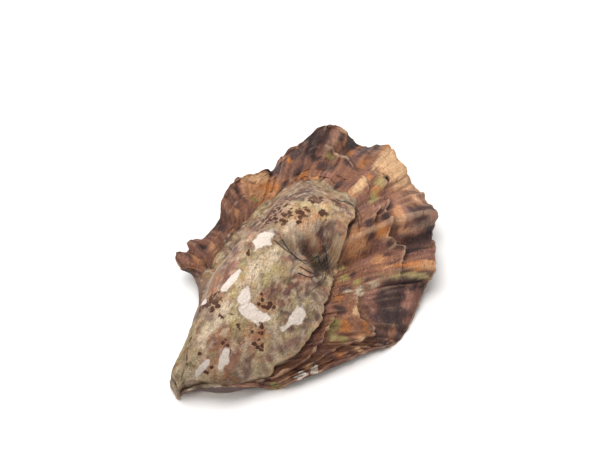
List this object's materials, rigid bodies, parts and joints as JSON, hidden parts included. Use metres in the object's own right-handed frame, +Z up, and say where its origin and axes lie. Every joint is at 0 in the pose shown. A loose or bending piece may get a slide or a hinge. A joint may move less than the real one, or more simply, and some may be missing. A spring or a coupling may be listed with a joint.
{
  "type": "oyster shell",
  "caption": "Weathered cupped oyster valve, hollow side down: a thick humped body with thin ruffled growth layers spreading out from under it to a lobed edge.",
  "frame": {"origin": "middle of the shell's footprint box, on the surface that it rests on", "axes": "+X runs along the shell from the beak to the far edge, +Z up out of the humped outer face, and +Y across to the side with the two small lobes"},
  "size_m": [0.1164, 0.0714, 0.0273],
  "materials": {
    "shell": "rough and chalky on the body, silkier on the thin outer layers"
  },
  "bodies": {
    "root": {"valve": "shell"}
  },
  "joints": []
}
